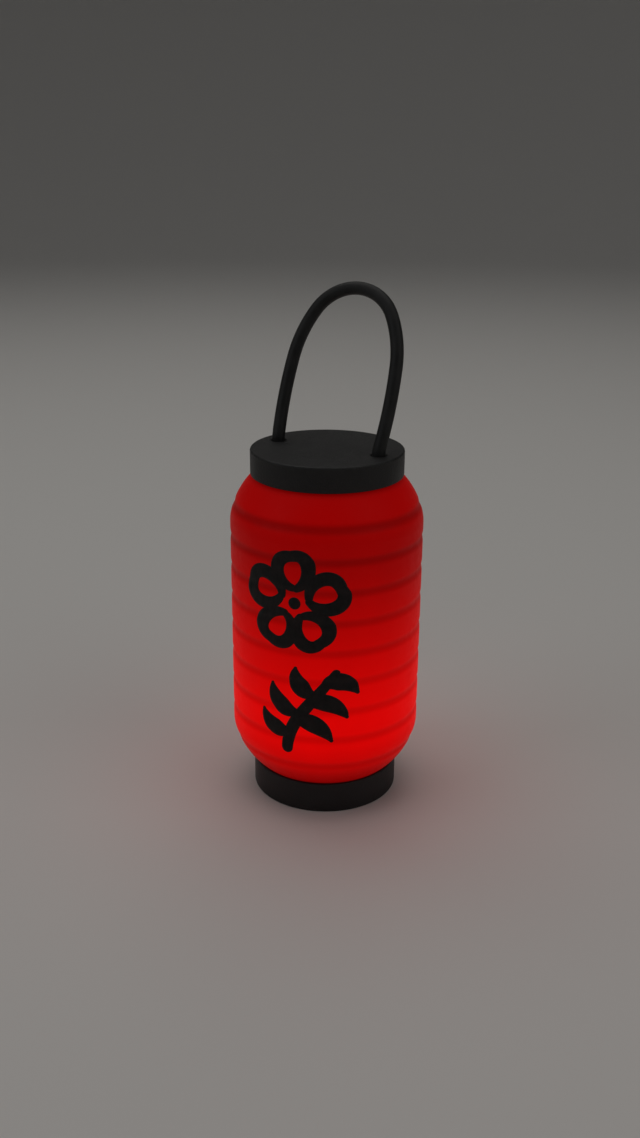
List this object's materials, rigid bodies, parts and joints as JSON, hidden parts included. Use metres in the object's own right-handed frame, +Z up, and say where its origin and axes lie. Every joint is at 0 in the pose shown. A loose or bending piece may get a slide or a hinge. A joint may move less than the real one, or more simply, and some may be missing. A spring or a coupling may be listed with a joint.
{
  "type": "floating pool light",
  "caption": "Lantern-shaped floating light: ribbed glowing red shade between a black base and cap, cord handle, coin cell door and push button underneath.",
  "frame": {"origin": "centre of the base's underside, on the surface that it stands on", "axes": "+Z up along the shade's axis; the painted side of the shade faces -Y"},
  "size_m": [0.075, 0.0752, 0.2015],
  "materials": {
    "shade_red": "translucent milky red, satin, lit from inside",
    "base_black": "matte black moulded plastic",
    "cap_black": "matte black moulded plastic",
    "door_black": "matte black moulded plastic",
    "cord_rubber": "matte black rubber cord",
    "button_rubber": "satin dark silicone",
    "seal_rubber": "satin black nitrile",
    "print_ink": "opaque black ink film, matte",
    "diffuser_milky": "milky white, lit red from inside",
    "board_green": "solder-masked fibreglass",
    "led_package": "moulded lamp package, lit red",
    "chip_black": "moulded epoxy",
    "resistor_black": "glazed thick-film chip",
    "switch_plastic": "moulded switch case",
    "plunger_red": "moulded switch plunger",
    "holder_cream": "moulded insulating sleeve",
    "cell_steel": "nickel-plated steel can",
    "contact_brass": "plated spring brass",
    "screw_steel": "zinc-plated steel",
    "liner_white": "moulded white plastic",
    "stop_aluminium": "crimped aluminium sleeve"
  },
  "bodies": {
    "base": {"base_housing": "base_black", "led_board": "board_green", "board_screws": "screw_steel", "leds": "led_package", "driver_chip": "chip_black", "resistors": "resistor_black", "switch_body": "switch_plastic", "light_diffuser": "diffuser_milky", "battery_holder": "holder_cream", "top_contact": "contact_brass", "battery_lower": "cell_steel", "battery_upper": "cell_steel"},
    "door_seal": {"door_gasket": "seal_rubber"},
    "door": {"battery_door": "door_black", "door_contact": "contact_brass"},
    "button": {"power_button": "button_rubber", "switch_plunger": "plunger_red"},
    "shade_seal": {"base_gasket": "seal_rubber"},
    "shade": {"shade": "shade_red", "blossom_print": "print_ink", "sprig_print": "print_ink"},
    "cap_seal": {"cap_gasket": "seal_rubber"},
    "cap": {"top_cap": "cap_black", "cap_liner": "liner_white", "liner_screws": "screw_steel", "cord_ends": "cord_rubber", "cord_stops": "stop_aluminium"},
    "handle": {"handle": "cord_rubber"}
  },
  "joints": [
    {"name": "door_drop", "type": "slide", "parent": "base", "child": "door_seal", "axis": [0, 0, -1], "range_m": [0, 0.003]},
    {"name": "door_turn", "type": "hinge", "parent": "door_seal", "child": "door", "pos_m": [0, 0, 0.002], "axis": [0, 0, -1], "range_deg": [0, 720]},
    {"name": "button_press", "type": "slide", "parent": "base", "child": "button", "axis": [0, 0, 1], "range_m": [0, 0.0008], "stiffness_N_per_m": 500, "springref_m": -0.001},
    {"name": "shade_turn", "type": "hinge", "parent": "base", "child": "shade_seal", "pos_m": [0, 0, 0.016], "axis": [0, 0, 1], "continuous": true},
    {"name": "shade_lift", "type": "slide", "parent": "shade_seal", "child": "shade", "axis": [0, 0, 1], "range_m": [0, 0.03]},
    {"name": "cap_lift", "type": "slide", "parent": "shade", "child": "cap_seal", "axis": [0, 0, 1], "range_m": [0, 0.04]},
    {"name": "cap_turn", "type": "hinge", "parent": "cap_seal", "child": "cap", "pos_m": [0, 0, 0.1385], "axis": [0, 0, 1], "continuous": true},
    {"name": "handle_swing", "type": "hinge", "parent": "cap", "child": "handle", "pos_m": [0, 0, 0.1436], "axis": [0.9659, -0.2588, 0], "range_deg": [-36, 80], "stiffness_Nm_per_rad": 0.05}
  ],
  "couplings": [
    {"joint": "door_turn", "follows": "door_drop", "rad_per_m": 4188.8}
  ]
}
